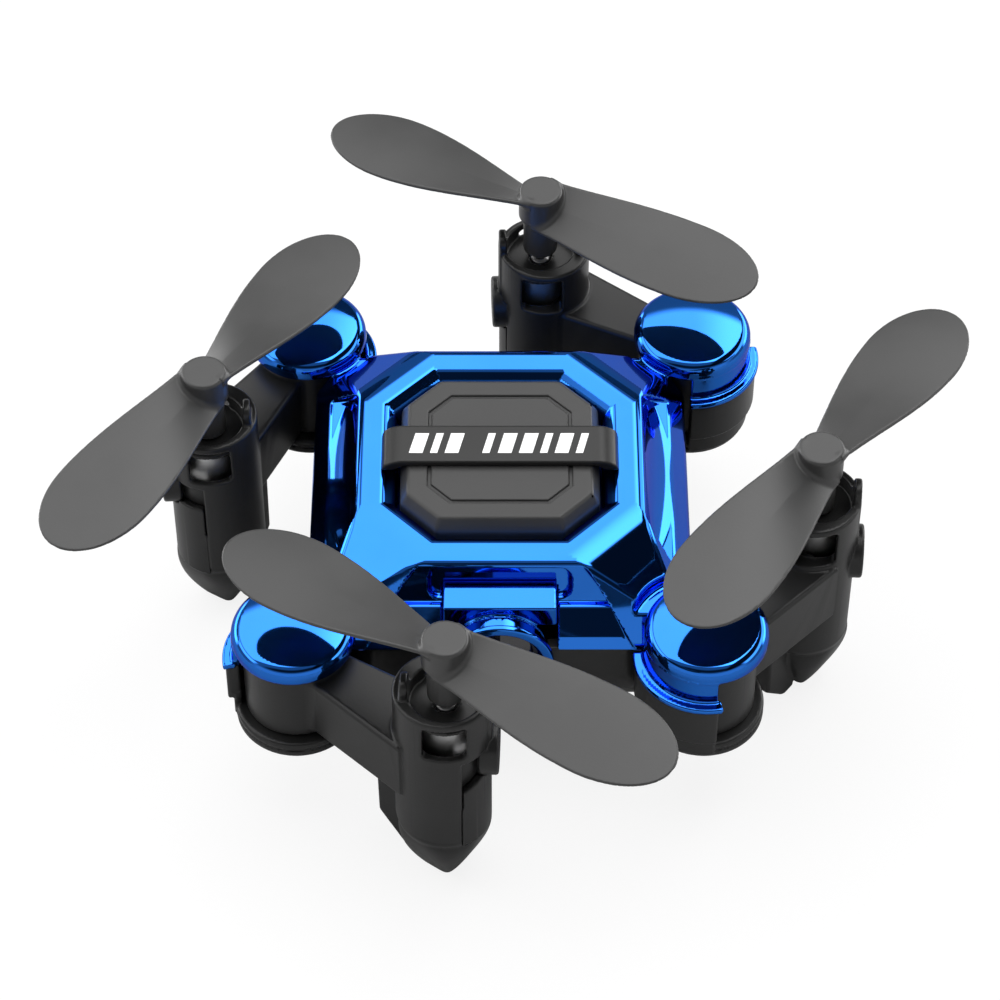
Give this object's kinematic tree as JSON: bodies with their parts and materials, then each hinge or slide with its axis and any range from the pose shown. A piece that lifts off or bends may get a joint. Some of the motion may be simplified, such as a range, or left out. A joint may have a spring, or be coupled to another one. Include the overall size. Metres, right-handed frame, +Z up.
{
  "type": "mini palm drone",
  "caption": "Palm-sized quadcopter: square two-shell body, front camera, fold-out arms with motor pods and two-blade propellers.",
  "frame": {"origin": "centre of the belly's flat face", "axes": "+Z up along the propeller axes, -Y the way the camera looks"},
  "size_m": [0.1007, 0.0977, 0.0384],
  "materials": {
    "blue_chrome": "electroplated blue, mirror gloss",
    "dark_plastic": "satin moulded black",
    "propeller_grey": "satin dark grey",
    "motor_steel": "bright plated can",
    "steel": "bright",
    "lens_glass": "clear, dark behind",
    "circuit_board": "green solder mask",
    "cell_wrap": "foil wrap"
  },
  "bodies": {
    "body": {"upper_shell": "blue_chrome", "lower_shell": "dark_plastic", "top_cover": "dark_plastic", "top_strap": "dark_plastic", "camera_housing": "blue_chrome", "camera_ring": "blue_chrome", "camera_lens": "lens_glass", "camera_module": "dark_plastic", "camera_board": "circuit_board", "battery": "cell_wrap", "main_board": "circuit_board", "board_chips": "dark_plastic", "rear_board": "circuit_board", "charge_port": "steel", "switch": "dark_plastic", "shell_screws": "steel", "pivot_screws": "steel", "pivot_washers": "steel"},
    "button": {"power_button": "dark_plastic"},
    "arm_front": {"arm_front": "dark_plastic", "pod_cover_front": "dark_plastic", "motor_can_front": "motor_steel", "motor_tail_front": "dark_plastic"},
    "prop_front": {"propeller_front": "propeller_grey", "shaft_front": "steel"},
    "arm_right": {"arm_right": "dark_plastic", "pod_cover_right": "dark_plastic", "motor_can_right": "motor_steel", "motor_tail_right": "dark_plastic"},
    "prop_right": {"propeller_right": "propeller_grey", "shaft_right": "steel"},
    "arm_rear": {"arm_rear": "dark_plastic", "pod_cover_rear": "dark_plastic", "motor_can_rear": "motor_steel", "motor_tail_rear": "dark_plastic"},
    "prop_rear": {"propeller_rear": "propeller_grey", "shaft_rear": "steel"},
    "arm_left": {"arm_left": "dark_plastic", "pod_cover_left": "dark_plastic", "motor_can_left": "motor_steel", "motor_tail_left": "dark_plastic"},
    "prop_left": {"propeller_left": "propeller_grey", "shaft_left": "steel"}
  },
  "joints": [
    {"name": "button_press", "type": "slide", "parent": "body", "child": "button", "axis": [0, -1, 0], "range_m": [0, 0.0006], "stiffness_N_per_m": 150},
    {"name": "arm_front_fold", "type": "hinge", "parent": "body", "child": "arm_front", "pos_m": [-0.022, -0.022, 0.0098], "axis": [0, 0, 1], "range_deg": [-99, 12.5]},
    {"name": "prop_front_spin", "type": "hinge", "parent": "arm_front", "child": "prop_front", "pos_m": [-0.00562, -0.03347, 0.0199], "axis": [0, 0, 1], "continuous": true},
    {"name": "arm_right_fold", "type": "hinge", "parent": "body", "child": "arm_right", "pos_m": [0.022, -0.022, 0.0098], "axis": [0, 0, 1], "range_deg": [-95.7, 15.8]},
    {"name": "prop_right_spin", "type": "hinge", "parent": "arm_right", "child": "prop_right", "pos_m": [0.0344, -0.0063, 0.0199], "axis": [0, 0, 1], "continuous": true},
    {"name": "arm_rear_fold", "type": "hinge", "parent": "body", "child": "arm_rear", "pos_m": [0.022, 0.022, 0.0098], "axis": [0, 0, 1], "range_deg": [-104.2, 7.3]},
    {"name": "prop_rear_spin", "type": "hinge", "parent": "arm_rear", "child": "prop_rear", "pos_m": [0.00464, 0.03194, 0.0199], "axis": [0, 0, 1], "continuous": true},
    {"name": "arm_left_fold", "type": "hinge", "parent": "body", "child": "arm_left", "pos_m": [-0.022, 0.022, 0.0098], "axis": [0, 0, 1], "range_deg": [-103.1, 8.4]},
    {"name": "prop_left_spin", "type": "hinge", "parent": "arm_left", "child": "prop_left", "pos_m": [-0.03227, 0.00484, 0.0199], "axis": [0, 0, 1], "continuous": true}
  ]
}
